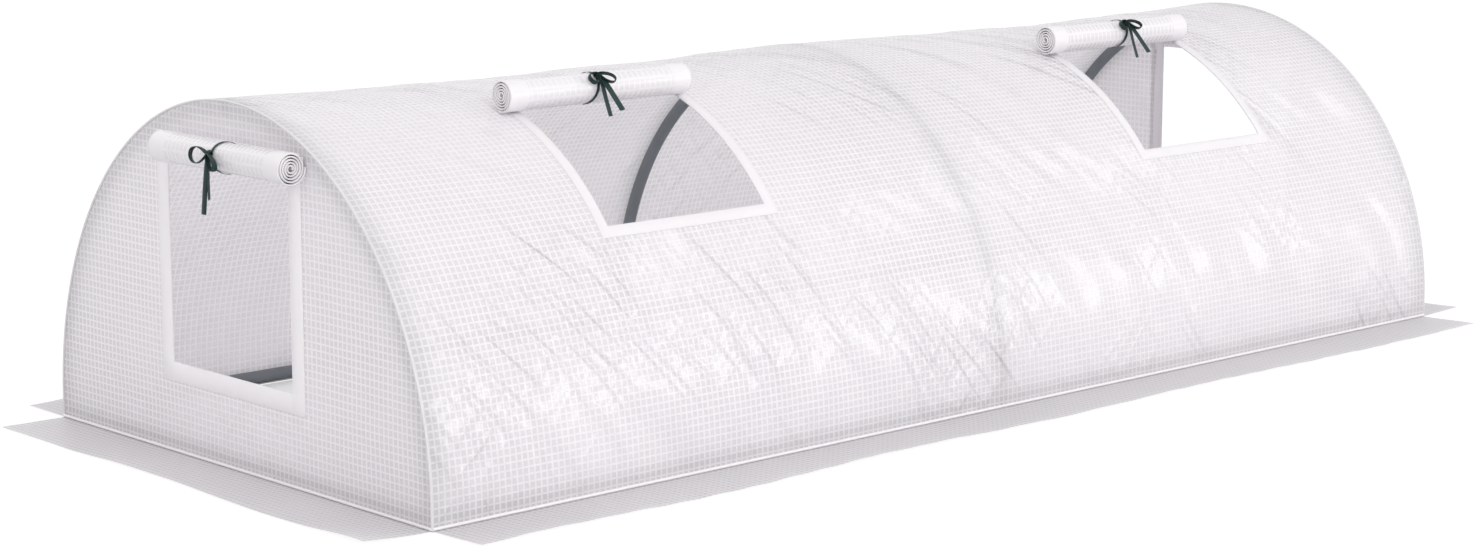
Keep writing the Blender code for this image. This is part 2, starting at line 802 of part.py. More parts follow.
clear_scene()
GREENHOUSE = new_collection("Tunnel greenhouse")
HELPERS = new_collection("Helpers")
FRAME_PAINT = plain_material("frame paint", FRAME_GREY, 0.5, 0.3)
JOINT_PLASTIC = plain_material("joint plastic", JOINT_BLACK, 0.6)
COVER_FILM = plain_material("cover film", COVER_WHITE, 0.4)
TAPE = plain_material("white tape", TAPE_WHITE, 0.35)
SKIRT_FILM = plain_material("skirt film", SKIRT_GREY, 0.5)
RIBBON = plain_material("ribbon", RIBBON_GREEN, 0.6)
PLUG_MESH = plug_mesh()
main()
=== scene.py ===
# %% [markdown]
# # A low tunnel greenhouse under a mesh-reinforced cover
#
# The real thing is a frame of bent steel tubes with one big sheet pulled over it: clear-white
# plastic film, laminated over a grid of threads. So nearly everything that makes it look real
# is cloth work: slight wrinkles, a weave that follows the sheet, film that lets some light and
# a little of the view through, and four flaps that are rolled up and tied with dark ribbon.
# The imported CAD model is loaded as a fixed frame, and every piece below is placed in its
# metres: X along the tunnel, Y across it, Z up, ground at zero.

# %% Load the frame
from math import cos, pi, radians, sin

import bpy
import numpy as np
from mathutils import Matrix, Vector


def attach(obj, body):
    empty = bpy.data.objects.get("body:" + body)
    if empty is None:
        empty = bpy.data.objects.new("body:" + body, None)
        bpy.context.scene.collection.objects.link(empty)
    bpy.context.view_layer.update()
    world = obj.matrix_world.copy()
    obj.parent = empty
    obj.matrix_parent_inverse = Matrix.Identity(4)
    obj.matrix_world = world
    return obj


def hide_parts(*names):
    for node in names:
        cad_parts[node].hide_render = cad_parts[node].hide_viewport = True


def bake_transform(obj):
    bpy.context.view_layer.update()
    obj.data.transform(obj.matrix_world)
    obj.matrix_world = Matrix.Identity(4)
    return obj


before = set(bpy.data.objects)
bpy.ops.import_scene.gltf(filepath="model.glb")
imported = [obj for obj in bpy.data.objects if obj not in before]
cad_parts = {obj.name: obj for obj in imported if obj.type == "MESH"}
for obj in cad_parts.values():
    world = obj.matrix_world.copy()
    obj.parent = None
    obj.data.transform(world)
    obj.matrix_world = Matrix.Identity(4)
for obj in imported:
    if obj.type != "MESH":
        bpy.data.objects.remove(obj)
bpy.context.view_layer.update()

ENDS = (("front", -1), ("rear", 1))
SIDES = (("left", 1), ("right", -1))

# %% [markdown]
# ## Camera first
#
# The camera's place, turn and lens were worked out from the corners of the object in the
# photograph, so that the rest can be judged against it from the first render. The focal length
# came out at 3123 of the photo's 1480 pixels, which is a 76 mm lens on a 36 mm sensor: a long
# lens from far away, with only a little perspective.

# %% Camera
CAMERA_AT = Vector((-3.8082, -3.9591, 1.147))
CAMERA_YAW = radians(47.192)
CAMERA_PITCH = radians(-10.199)
CAMERA_ROLL = radians(0.089)
FOCAL_PIXELS = 3122.8
PHOTO_WIDTH = 1480
SENSOR_WIDTH = 36


def add_object(name, data):
    made = bpy.data.objects.new(name, data)
    bpy.context.scene.collection.objects.link(made)
    return made


def aim(yaw, pitch, roll):
    """The rotation of a camera that looks along yaw from +X towards +Y, tipped up by pitch."""
    look = Vector((cos(pitch) * cos(yaw), cos(pitch) * sin(yaw), sin(pitch)))
    right = look.cross(Vector((0, 0, 1))).normalized()
    up = right.cross(look)
    tilted_right = right * cos(roll) + up * sin(roll)
    tilted_up = up * cos(roll) - right * sin(roll)
    return Matrix((tilted_right, tilted_up, -look)).transposed()


camera = add_object("camera", bpy.data.cameras.new("camera"))
camera.data.sensor_width = SENSOR_WIDTH
camera.data.lens = SENSOR_WIDTH * FOCAL_PIXELS / PHOTO_WIDTH
camera.matrix_world = Matrix.Translation(CAMERA_AT) @ aim(CAMERA_YAW, CAMERA_PITCH, CAMERA_ROLL).to_4x4()
bpy.context.scene.camera = camera
bpy.context.scene.view_settings.view_transform = "Standard"
print("lens", round(camera.data.lens, 1), "mm")

# %% [markdown]
# ## Shader maths in plain expressions
#
# A weave is arithmetic: repeat a coordinate, measure the distance to the nearest thread, turn
# that into a mask. With one small class that wraps a socket, such sums read as they would on
# paper, and each operator adds one Math node. Every other node comes from `node`.


# %% A material builder
class Sum:
    """A number in a shader: arithmetic on it adds Math nodes."""

    def __init__(self, maker, socket):
        self.maker, self.socket = maker, socket

    def __add__(self, other):
        return self.maker.math("ADD", self, other)

    def __sub__(self, other):
        return self.maker.math("SUBTRACT", self, other)

    def __rsub__(self, other):
        return self.maker.math("SUBTRACT", other, self)

    def __mul__(self, other):
        return self.maker.math("MULTIPLY", self, other)

    def __truediv__(self, other):
        return self.maker.math("DIVIDE", self, other)

    def __abs__(self):
        return self.maker.math("ABSOLUTE", self)

    __radd__, __rmul__ = __add__, __mul__


class Maker:
    """Adds nodes to a shader tree."""

    def __init__(self, tree):
        self.nodes, self.links = tree.nodes, tree.links

    def node(self, kind, settings=None, *values, **inputs):
        """Adds a node: its settings first, then its sockets in their order, then those given by name."""
        made = self.nodes.new(kind)
        for key, value in (settings or {}).items():
            setattr(made, key, value)
        for number, value in enumerate(values):
            self.put(made, number, value)
        for key, value in inputs.items():
            self.put(made, key.replace("_", " "), value)
        return made

    def put(self, node, key, value):
        socket = node.inputs[key]
        if isinstance(value, Sum):
            self.links.new(value.socket, socket)
        elif isinstance(value, bpy.types.NodeSocket):
            self.links.new(value, socket)
        else:
            socket.default_value = value

    def math(self, operation, *values):
        return Sum(self, self.node("ShaderNodeMath", {"operation": operation}, *values).outputs[0])

    def soft_step(self, value, low, high):
        """0 below low, 1 above high, and smooth between."""
        made = self.node("ShaderNodeMapRange", {"interpolation_type": "SMOOTHSTEP"}, value, low, high)
        return Sum(self, made.outputs["Result"])

    def colour(self, share, first, second):
        """A blend of two colours, each a tuple or a socket."""
        made = self.node("ShaderNodeMix", {"data_type": "RGBA"})
        self.put(made, 0, share)
        for number, given in ((6, first), (7, second)):
            self.put(made, number, (*given, 1) if isinstance(given, tuple) else given)
        return made.outputs[2]

    def noise(self, vector, scale, detail=2.0):
        made = self.node("ShaderNodeTexNoise", Vector=vector, Scale=scale, Detail=detail)
        return Sum(self, made.outputs["Fac"])

    def uv(self):
        return self.node("ShaderNodeUVMap", {"uv_map": "cloth"}).outputs["UV"]

    def place(self):
        return self.node("ShaderNodeTexCoord").outputs["Object"]

    def axes(self, vector):
        made = self.node("ShaderNodeSeparateXYZ", Vector=vector)
        return [Sum(self, made.outputs[number]) for number in range(3)]

    def vector(self, *values):
        return self.node("ShaderNodeCombineXYZ", None, *values).outputs[0]

    def bump(self, height, distance, strength=1.0, under=None):
        made = self.node("ShaderNodeBump", Height=height, Distance=distance, Strength=strength)
        if under is not None:
            self.put(made, "Normal", under)
        return made.outputs["Normal"]


class Finish(Maker):
    """A material under construction, with a Principled shader already at its output."""

    def __init__(self, name):
        self.material = bpy.data.materials.new(name)
        self.material.use_nodes = True
        super().__init__(self.material.node_tree)
        self.shader = self.nodes["Principled BSDF"]

    def set(self, **inputs):
        for key, value in inputs.items():
            self.put(self.shader, key.replace("_", " "), value)

    def mix_in(self, share, other):
        """Puts a share of another shader in the place of the Principled one."""
        both = self.node("ShaderNodeMixShader", None, share, self.shader.outputs[0], other.outputs[0])
        self.links.new(both.outputs[0], self.nodes["Material Output"].inputs["Surface"])

    def soak(self, share, colour):
        """Lets light soak through, as it does through thin film."""
        self.mix_in(share, self.node("ShaderNodeBsdfTranslucent", Color=(*colour, 1)))


print("material builder ready")

# %% [markdown]
# ## The film
#
# The cover is a laminate: white threads in a square grid about 11 mm apart, with thin film in
# the cells between. The threads are opaque and bright. The cells are greyer, glossier, and a
# little see-through, so the middle hoop, the ground rails and the far doorway show faintly
# through the near wall. Light soaks through both, on the cover a little more where the threads
# are, so the inside of the tunnel is bright. One mask for the threads lies on the sheet's own
# UV map, in metres, and colour, roughness, opacity and bump all follow it.
#
# Film that was folded and then pulled tight keeps fine slanting wrinkles. They show in its
# gloss far more than in its outline, so they are a bump: noise drawn out along two slanting
# directions, kept to ridges, and let through only in patches.
#
# The skirts and the flaps are cut from the same film, so one function makes all of them, with
# other shares of white. The skirt's darker greys are painted shade, for white film that lies flat
# on the ground. The flaps have plain welded bands at both ends.

# %% Film materials
MESH_PITCH = 0.0111
CELL_WIDE = 0.7
CELL_HIGH = 0.75
THREAD_SOFT = 0.05
BAND_SOFT = 0.0006
FILM_SOAK = (0.94, 0.915, 0.94)


def turned_ways(along, up, turn):
    """Distances along a slanting direction of the sheet and across it."""
    return along * cos(turn) + up * sin(turn), up * cos(turn) - along * sin(turn)


def wrinkles(f, along, up, turn, long_scale, cross_scale):
    """Ridges of noise drawn out along a slanting direction of the sheet."""
    first, second = turned_ways(along, up, turn)
    bent = f.noise(f.vector(along * 3.0, up * 3.0, 2.0), 1.0, 1.0)
    spot = f.vector(first * long_scale, second * cross_scale + bent * 1.6, turn)
    return 1.0 - f.soft_step(abs(f.noise(spot, 1.0, 1.0) - 0.5), 0.0, 0.16)


def folds(f, along, up, turn):
    """Broad soft folds, drawn out along a slanting direction of the sheet."""
    first, second = turned_ways(along, up, turn)
    bent = f.noise(f.vector(along * 1.7, up * 1.7, 4.0), 1.0, 1.0)
    return f.noise(f.vector(first * 2.4, second * 10.0 + bent * 3.0, turn), 1.0, 1.0)


def film(
    name, cell, thread, cell_alpha, through, plain_from=None, gloss=0.22, creased=0.0, thread_through=0.0
):
    """Film over a grid of threads, from the colours of both.

    through is the share of light that soaks through, and thread_through what the threads add.
    Further than plain_from from its middle, the sheet has no threads.
    """
    f = Finish(name)
    along, up, _ = f.axes(f.uv())
    masks = []
    for axis, share in ((along, CELL_WIDE), (up, CELL_HIGH)):
        from_middle = abs(f.math("FRACT", axis / MESH_PITCH) - 0.5)
        masks.append(f.soft_step(from_middle, share / 2 - THREAD_SOFT, share / 2 + THREAD_SOFT))
    threads = f.math("MAXIMUM", *masks)
    if plain_from is not None:
        band = f.soft_step(abs(along), plain_from - BAND_SOFT, plain_from + BAND_SOFT)
        threads = f.math("MAXIMUM", threads, band)
    spot = f.place()
    cloudy = f.noise(spot, 2.3, 3.0)
    worn = f.noise(spot, 38.0, 2.0)
    dark = tuple(value * 0.93 for value in cell)
    cells = f.colour(f.soft_step(cloudy, 0.35, 0.65), dark, cell)
    f.set(Base_Color=f.colour(threads, cells, thread))
    f.set(Roughness=gloss + 0.1 * threads + 0.08 * worn)
    f.set(Alpha=cell_alpha + (1 - cell_alpha) * threads)
    normal = f.bump(threads + 0.5 * worn, 0.0003, 0.5)
    if creased:
        patches = f.soft_step(f.noise(f.vector(along * 2.2, up * 2.2, 7.0), 1.0, 2.0), 0.42, 0.62)
        ridges = wrinkles(f, along, up, -0.95, 4.0, 24.0) + 0.45 * wrinkles(f, along, up, 0.75, 6.0, 30.0)
        normal = f.bump(ridges * patches, creased, 1.0, normal)
        normal = f.bump(folds(f, along, up, -1.0), creased * 6, 1.0, normal)
    f.set(Normal=normal)
    f.soak(through + thread_through * threads if thread_through else through, FILM_SOAK)
    return f.material


def grey(value, tint=0.028):
    """A near-neutral colour from its sRGB level of 0 to 255, with the slight lilac tint of the film."""
    share = value / 255
    linear = ((share + 0.055) / 1.055) ** 2.4
    return (linear, linear * (1 - tint), linear)


COVER = film("cover film", grey(237), grey(254), 0.92, 0.27, gloss=0.13, creased=0.0035, thread_through=0.06)
PANEL = film("end panel film", grey(234), grey(250), 0.97, 0.26, creased=0.001)
# The skirt film is the cover's white film painted darker: painted shade for the skirts on the ground.
SHADED_SKIRT_FILM = film("skirt film", grey(214), grey(234), 0.97, 0.15, gloss=0.4)
DOOR_FLAP_HALF = 0.1735
WINDOW_FLAP_HALF = 0.1875
BAND_WIDTH = 0.038
FLAPS = {
    kind: film(f"{kind} flap film", grey(238), grey(243), 1.0, 0.08, plain_from=half - BAND_WIDTH)
    for kind, half in (("door", DOOR_FLAP_HALF), ("window", WINDOW_FLAP_HALF))
}
print("film materials:", [m.name for m in (COVER, PANEL, SHADED_SKIRT_FILM, *FLAPS.values())])

# %% [markdown]
# ## Tape, ribbon, tube and plastic
#
# The tape round each opening is the plain film doubled and welded, so it is whiter and smoother
# than the cover, with a faint press pattern from the welding wheel. On the curved wall it lies in
# more light than on the end panels, so there it is a little darker, or it would clip. The bead
# along the arch is film painted greyer than the tape: partly the film's own tone, partly painted
# shade along the arch edge. The ribbon is a satin weave: fine ridges across it, a soft
# sheen along it. The tubes have a slate-grey powder coat, whose grain is a very small bump, and
# the joints are moulded plastic.


# %% Plain materials
TAPE_SOAK = (0.95, 0.925, 0.95)


def tape_finish(name, low, high):
    """Plain welded film, patchy between two levels of white."""
    f = Finish(name)
    x, y, z = f.axes(f.place())
    press = f.math("SINE", (x + y) * 1500) * f.math("SINE", z * 1500)
    patch = f.noise(f.place(), 9.0, 3.0)
    f.set(Base_Color=f.colour(patch, grey(low), grey(high)))
    f.set(Roughness=0.3 + 0.15 * patch)
    f.set(Normal=f.bump(press + 2 * patch, 0.0002, 0.35))
    f.soak(0.1, TAPE_SOAK)
    return f.material


def ribbon_finish():
    f = Finish("dark green ribbon")
    across, along, _ = f.axes(f.uv())
    ridges = f.math("SINE", along * (2 * pi / 0.0007))
    edge = f.soft_step(abs(across), 0.0042, 0.0052)
    shade = f.noise(f.place(), 60.0)
    body = f.colour(shade, (0.004, 0.021, 0.019), (0.012, 0.045, 0.04))
    f.set(Base_Color=f.colour(edge * 0.6, body, (0.003, 0.014, 0.013)))
    f.set(Roughness=0.38 + 0.2 * shade)
    f.set(Normal=f.bump(ridges, 0.00012, 0.5))
    f.set(Sheen_Weight=0.06, Specular_IOR_Level=0.3)
    return f.material


def coat(name, low, high, smooth, rough, spots, grain, depth, metal=0.0):
    """Two close colours in soft spots, under a fine grain."""
    f = Finish(name)
    spot = f.noise(f.place(), spots)
    f.set(Base_Color=f.colour(spot, low, high))
    f.set(Roughness=smooth + rough * spot, Metallic=metal)
    f.set(Normal=f.bump(f.noise(f.place(), grain), depth, 0.5))
    return f.material


TAPE = tape_finish("white tape", 252, 255)
WALL_TAPE = tape_finish("window tape", 239, 246)
# The bead's greys are partly the film's own tone and partly painted shade along the arch edge.
BEAD_WITH_SHADE = tape_finish("bead film with painted shade", 226, 236)
RIBBON = ribbon_finish()
TUBE = coat("frame coat", (0.175, 0.196, 0.213), (0.25, 0.272, 0.292), 0.42, 0.12, 14.0, 900.0, 0.0001, 0.25)
JOINT = coat("joint plastic", (0.016, 0.018, 0.018), (0.026, 0.028, 0.028), 0.55, 0.1, 700.0, 700.0, 0.00015)
print("plain materials ready")

# %% [markdown]
# ## The shape of the cover
#
# The cover is an arch: half an ellipse, 1 m wide and 0.54 m high, on legs of 30 mm. Any point
# on it has two numbers, x along the tunnel and s, the distance along the arch from the foot of
# the window side. They are also the sheet's UV map, so the weave lies as it would on the flat
# sheet. An ellipse has no plain formula for that distance, so it comes from a fine table.
# Between hoops the crest hangs 8 mm low, and the walls carry long soft waves and a few sharp
# creases that were folded in when the sheet was packed. Both fade out at the hoops, where it
# is tight.

# %% The arch, the sag and the wrinkles
HALF_LENGTH = 1.2
HALF_WIDTH = 0.5
LEG = 0.03
RISE = 0.543
SAG = 0.008
SAG_POWER = 6
HOOP_EDGES = (0.011, 1.1755)
WINDOW_MIDDLES = {"front": -0.606, "rear": 0.656}
WINDOW_HALF = 0.163

TURNS = np.linspace(0, pi, 1801)
STEPS = np.hypot(np.diff(-HALF_WIDTH * np.cos(TURNS)), np.diff(RISE * np.sin(TURNS)))
REACHED = LEG + np.concatenate([[0], np.cumsum(STEPS)])
ARCH = float(REACHED[-1]) + LEG


def arch_turn(s):
    """The angle of the ellipse at a distance s along the arch."""
    return np.interp(s, REACHED, TURNS)


def arch_corner(turn, inset=0.0):
    """(y, z, outward y, outward z) at an angle of the ellipse, moved inwards by an inset."""
    out_y, out_z = -RISE * np.cos(turn), HALF_WIDTH * np.sin(turn)
    size = np.hypot(out_y, out_z)
    out_y, out_z = out_y / size, out_z / size
    return -HALF_WIDTH * np.cos(turn) - out_y * inset, LEG + RISE * np.sin(turn) - out_z * inset, out_y, out_z


def wall(s):
    """(y, z, outward y, outward z) on the smooth arch, for an array or number s."""
    s = np.asarray(s, float)
    y, z, out_y, out_z = arch_corner(arch_turn(s))
    return y, z + np.minimum(s - LEG, 0) + np.minimum(ARCH - LEG - s, 0), out_y, out_z


WINDOW_S = tuple(float(np.interp(radians(turn), TURNS, REACHED)) for turn in (40.2, 72))


def unit(value):
    """The value, held between 0 and 1."""
    return np.clip(value, 0, 1)


def from_windows(x):
    """The distance along the tunnel to the middle of the nearer window."""
    return np.minimum.reduce([np.abs(x - middle) for middle in WINDOW_MIDDLES.values()])


def slack(x):
    """0 on a hoop, 1 in the middle of a bay."""
    share = (np.abs(x) - HOOP_EDGES[0]) / (HOOP_EDGES[1] - HOOP_EDGES[0])
    return np.sin(pi * unit(share))


# Creases: x and s of both ends, then depth and width in millimetres
CREASES = [
    (-0.62, 0.40, -0.50, 0.24, 2.2, 12),
    (-0.74, 0.41, -0.68, 0.27, 1.6, 10),
    (-0.52, 0.40, -0.40, 0.20, 2.4, 14),
    (0.10, 0.55, 0.24, 0.36, 2.4, 12),
    (0.20, 0.52, 0.33, 0.34, 2.8, 12),
    (0.28, 0.50, 0.40, 0.36, 2.0, 10),
    (0.42, 0.40, 0.52, 0.26, 2.2, 12),
    (0.58, 0.39, 0.66, 0.28, 1.8, 10),
    (-0.95, 0.22, -0.70, 0.16, 2.5, 16),
    (-0.78, 0.20, -0.60, 0.24, 2.2, 10),
    (-0.10, 0.21, 0.05, 0.20, 1.6, 8),
    (-1.12, 0.17, -1.02, 0.10, 2.0, 12),
    (0.95, 0.45, 1.10, 0.30, 2.2, 14),
    (0.80, 0.22, 1.05, 0.15, 2.2, 14),
]
SMALL_CREASES = 46
FADE = 0.08
random = np.random.default_rng(11)
for _ in range(SMALL_CREASES):
    x, s = random.uniform(-1.15, 1.15), random.uniform(0.12, ARCH - 0.12)
    turn, reach = random.normal(-1.05, 0.35), random.uniform(0.06, 0.2)
    if s > ARCH / 2:
        turn = -turn
    far_end = (x + reach * cos(turn), s + reach * sin(turn))
    CREASES.append((x, s, *far_end, random.uniform(0.5, 1.5), random.uniform(6, 14)))


def waves(x, s, seed, count, size):
    """Soft irregular waves: a sum of sines with fixed random directions, within about -1 to 1."""
    chosen = np.random.default_rng(seed)
    total = np.zeros(np.broadcast(x, s).shape)
    for _ in range(count):
        turn, phase = chosen.uniform(0, 2 * pi, 2)
        length = size * chosen.uniform(0.6, 1.6)
        total += np.sin(2 * pi * (x * cos(turn) + s * sin(turn)) / length + phase)
    return total / count**0.5


def crease_depth(x, s):
    """Each crease is a valley with a ridge beside it, which fades out at both ends."""
    total = np.zeros(np.broadcast(x, s).shape)
    for ax, ay, bx, by, depth, width in CREASES:
        dx, dy = bx - ax, by - ay
        share = unit(((x - ax) * dx + (s - ay) * dy) / (dx * dx + dy * dy))
        away = np.hypot(x - ax - share * dx, s - ay - share * dy)
        signed = ((x - ax) * dy - (s - ay) * dx) / np.hypot(dx, dy)
        wide = width / 1000
        ridge = np.exp(-((signed - 1.3 * wide) ** 2) / wide**2 - (away - np.abs(signed)) ** 2 / wide**2)
        valley = np.exp(-(away**2) / (0.5 * wide**2))
        total += depth / 1000 * (0.55 * ridge - valley) * np.sin(pi * (0.08 + 0.84 * share))
    return total


def cover_lift(x, s):
    """How far the cover stands off the smooth arch: the sag, the waves and the creases."""
    sag = SAG * slack(x) * np.sin(arch_turn(s)) ** SAG_POWER
    free = np.minimum(slack(x) * 2.2, 1) * unit(s / FADE) * unit((ARCH - s) / FADE)
    soft = 0.0016 * waves(x, s, 5, 7, 0.42) + 0.0006 * waves(x, s, 8, 7, 0.12)
    lift = soft + 0.9 * crease_depth(x, s)
    beside = np.maximum(from_windows(x) - WINDOW_HALF, 0)
    beyond = np.maximum(s - WINDOW_S[1] - 0.02, 0) + np.maximum(WINDOW_S[0] - s, 0)
    near = np.exp(-((beside / 0.05) ** 2)) * np.exp(-((beyond / 0.03) ** 2))
    return -sag + free * (np.minimum(lift, 0.0012) - 0.0006) * (1 - 0.85 * near)


def cover_point(x, s, lift=0.0):
    y, z, out_y, out_z = wall(s)
    off = cover_lift(x, s) + lift
    return np.stack([np.broadcast_to(x, off.shape), y + out_y * off, z + out_z * off], axis=-1)


middle = cover_point(np.array([0.62]), np.array([ARCH / 2]))[0]
print("crest in the middle of a bay is at", round(float(middle[2]), 4), "m")

# %% [markdown]
# ## Sheets from rows and columns
#
# Each sheet is one continuous mesh on a grid of rows and columns. The grid lines are spaced
# evenly between the places that matter, such as the sides of a window, so a cut edge falls on
# a grid line and comes out straight. `foreach_set` writes all UVs at once, which is fast for
# tens of thousands of them. The faces inside an opening are left out.


# %% Sheet builder
def grid(rows, columns):
    return np.meshgrid(rows, columns, indexing="ij")


def spaced(stops, step):
    """Values from the first stop to the last, at most a step apart, with every stop among them."""
    values = [stops[0]]
    for low, high in zip(stops, stops[1:]):
        count = max(1, round((high - low) / step))
        values += [low + (high - low) * (number + 1) / count for number in range(count)]
    return np.array(values)


def mesh_object(name, points, faces, uvs, material, thickness=0.0, offset=0.0):
    """A smooth mesh with a UV for each point, made thick by a modifier if asked."""
    mesh = bpy.data.meshes.new(name)
    mesh.from_pydata(np.asarray(points).tolist(), [], faces)
    loops = np.zeros(len(mesh.loops), np.int32)
    mesh.loops.foreach_get("vertex_index", loops)
    layer = mesh.uv_layers.new(name="cloth")
    layer.data.foreach_set("uv", np.asarray(uvs, np.float32)[loops].ravel())
    mesh.validate()
    mesh.shade_smooth()
    mesh.materials.append(material)
    made = add_object(name, mesh)
    if thickness:
        solidify = made.modifiers.new("thickness", "SOLIDIFY")
        solidify.thickness = thickness
        solidify.offset = offset
        solidify.use_even_offset = True
    return made


def grid_quads(rows, columns, first=0):
    """The numbers of the four corners of each face of a grid of points."""
    numbers = np.arange(rows * columns).reshape(rows, columns) + first
    return np.stack([numbers[:-1, :-1], numbers[1:, :-1], numbers[1:, 1:], numbers[:-1, 1:]], axis=-1)


def sheet_object(name, points, uv_rows, uv_columns, material, keep=None, **more):
    """points has the shape rows, columns, 3. keep(u, v) says which faces stay, by their middles."""
    quads = grid_quads(*points.shape[:2])
    if keep is not None:
        middle_u = (uv_rows[:-1] + uv_rows[1:])[:, None] / 2
        middle_v = (uv_columns[:-1] + uv_columns[1:])[None, :] / 2
        quads = quads[keep(middle_u, middle_v)]
    used, numbers = np.unique(quads, return_inverse=True)
    uvs = np.stack(grid(uv_rows, uv_columns), axis=-1).reshape(-1, 2)[used]
    faces = numbers.reshape(-1, 4).tolist()
    return mesh_object(name, points.reshape(-1, 3)[used], faces, uvs, material, **more)


def stand_for(made, node, body="greenhouse"):
    """Says which body a piece rides on and which CAD node it replaces."""
    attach(made, body)
    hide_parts(node)


# %% The tunnel cover
GRID_STEP = 0.0105


def beside_windows(x, s):
    return (from_windows(x) > WINDOW_HALF) | (s < WINDOW_S[0]) | (s > WINDOW_S[1])


sides = [middle + side * WINDOW_HALF for middle in WINDOW_MIDDLES.values() for side in (-1, 1)]
cover_x = spaced([-HALF_LENGTH, *sides[:2], 0, *sides[2:], HALF_LENGTH], GRID_STEP)
cover_s = spaced([0, LEG, *WINDOW_S, ARCH - LEG, ARCH], GRID_STEP)
points = cover_point(*grid(cover_x, cover_s))
cover = sheet_object("tunnel_cover_cloth", points, cover_x, cover_s, COVER, keep=beside_windows)
stand_for(cover, "tunnel_cover")

# %% [markdown]
# ## The end panels
#
# Each end panel is a flat sheet with a rounded top. A square grid can't have a round edge, so
# its columns run up from the ground to the arch, and the rows are squeezed to fit under it.
# The UV map still holds plain Y and Z, so the weave stays square.

# %% End panels
DOOR_HALF = 0.161
DOOR_LOW = 0.147
DOOR_HIGH = 0.49427
EDGE = 0.0004
TOP_ROWS = 12


def arch_height(y):
    inside = np.maximum(1 - (np.asarray(y) / (HALF_WIDTH - EDGE)) ** 2, 0)
    return LEG + (RISE - EDGE) * np.sqrt(inside)


def panel_waves(y, z, seed):
    edge = unit((arch_height(y) - z) / FADE) * unit(z / 0.06)
    aside = np.maximum(np.abs(y) - DOOR_HALF, 0)
    beyond = np.maximum(np.maximum(DOOR_LOW - z, z - DOOR_HIGH), 0)
    free = edge * unit((np.hypot(aside, beyond) - 0.02) / 0.06)
    return free * (0.0009 * waves(y, z, seed, 6, 0.3) + 0.0004 * waves(y, z, seed + 1, 6, 0.1) - 0.0007)


def end_panel(place, sign):
    edge_y = HALF_WIDTH - EDGE
    turns = np.linspace(0, pi / 2, 26)
    rounding = -edge_y * np.cos(turns)
    outer = rounding[rounding < -DOOR_HALF - 0.004]
    left = np.concatenate([outer, [-DOOR_HALF]])
    columns = np.concatenate([left, spaced([-DOOR_HALF, DOOR_HALF], GRID_STEP)[1:-1], -left[::-1]])
    low = spaced([0, DOOR_LOW], GRID_STEP)
    middle = spaced([DOOR_LOW, DOOR_HIGH], GRID_STEP)
    points, faces, found = [], [], {}

    def point(y, z):
        key = (round(float(y), 6), round(float(z), 6))
        if key not in found:
            found[key] = len(points)
            points.append(key)
        return found[key]

    def cell(corners):
        numbers = [point(*corner) for corner in corners]
        kept = [number for at, number in enumerate(numbers) if number != numbers[at - 1]]
        if len(kept) > 2:
            faces.append(kept)

    def heights(y):
        top = float(arch_height(y))
        full = np.concatenate([low, middle[1:]])
        if abs(y) <= DOOR_HALF + 1e-9:
            above = DOOR_HIGH + (top - DOOR_HIGH) * np.linspace(0, 1, TOP_ROWS)
            return np.concatenate([full, above[1:]])
        base = LEG + (full[full > LEG] - LEG) * (top - LEG) / (RISE + LEG)
        flat_top = top <= LEG + 1e-6
        rest = np.full(TOP_ROWS - 1, LEG) if flat_top else np.linspace(base[-1], top, TOP_ROWS)[1:]
        return np.concatenate([full[full <= LEG], base, rest])

    for left_y, right_y in zip(columns, columns[1:]):
        left_z, right_z = heights(left_y), heights(right_y)
        inside_door = abs((left_y + right_y) / 2) < DOOR_HALF
        for a, b, c, d in zip(left_z, right_z, right_z[1:], left_z[1:]):
            if not (inside_door and DOOR_LOW < (a + d) / 2 < DOOR_HIGH):
                cell([(left_y, a), (right_y, b), (right_y, c), (left_y, d)])
    flat = np.array(points)
    out = panel_waves(flat[:, 0], flat[:, 1], 21 if sign < 0 else 31)
    placed = np.stack([sign * (HALF_LENGTH - EDGE + out), flat[:, 0], flat[:, 1]], axis=-1)
    turned = faces if sign > 0 else [face[::-1] for face in faces]
    return mesh_object(f"end_panel_{place}_cloth", placed, turned, flat, PANEL)


for place, sign in ENDS:
    panel = end_panel(place, sign)
    stand_for(panel, f"end_panel_{place}")
    print(panel.name, len(panel.data.polygons), "faces")

# %% [markdown]
# ## Skirts
#
# The foot of the cover runs out over the ground as a skirt on each side, to be weighed down
# with soil. Nothing holds its free edge in the photo, so it wanders in and out and lifts a few
# millimetres here and there.

# %% Skirts
SKIRT_WIDE = 0.12
SKIRT_LIFT = 0.007
SKIRT_STEP = 0.011
SKIRT_GAP = 0.0006
SKIRT_X, SKIRT_Y = HALF_LENGTH + SKIRT_GAP, HALF_WIDTH + SKIRT_GAP


def skirt(place, length, middle, out, run, seed):
    """A strip that runs along one side from its middle and out over the ground."""
    along = spaced([-length / 2, length / 2], SKIRT_STEP)
    away = spaced([0, SKIRT_WIDE], SKIRT_STEP)
    grid_a, grid_w = grid(along, away)
    wander = np.clip(0.0035 * waves(grid_a, 0 * grid_a, seed, 5, 0.5) - 0.0035, -0.008, 0)
    free = (grid_w / SKIRT_WIDE) ** 1.5
    lift = SKIRT_LIFT * free * unit(0.45 + 0.5 * waves(grid_a, grid_w, seed + 2, 5, 0.36))
    lift += 0.0012 + 0.0006 * np.clip(waves(grid_a, grid_w, seed + 4, 5, 0.1), -1, 1) * free
    reach = grid_w + wander * free
    points = np.array(middle)
    for distance, way in ((grid_a, run), (reach, out), (lift, (0, 0, 1))):
        points = points + distance[..., None] * np.array(way)
    made = sheet_object(f"skirt_{place}_cloth", points, along, away, SHADED_SKIRT_FILM)
    if Vector(run).cross(Vector(out)).z < 0:
        made.data.flip_normals()
    stand_for(made, f"skirt_{place}")


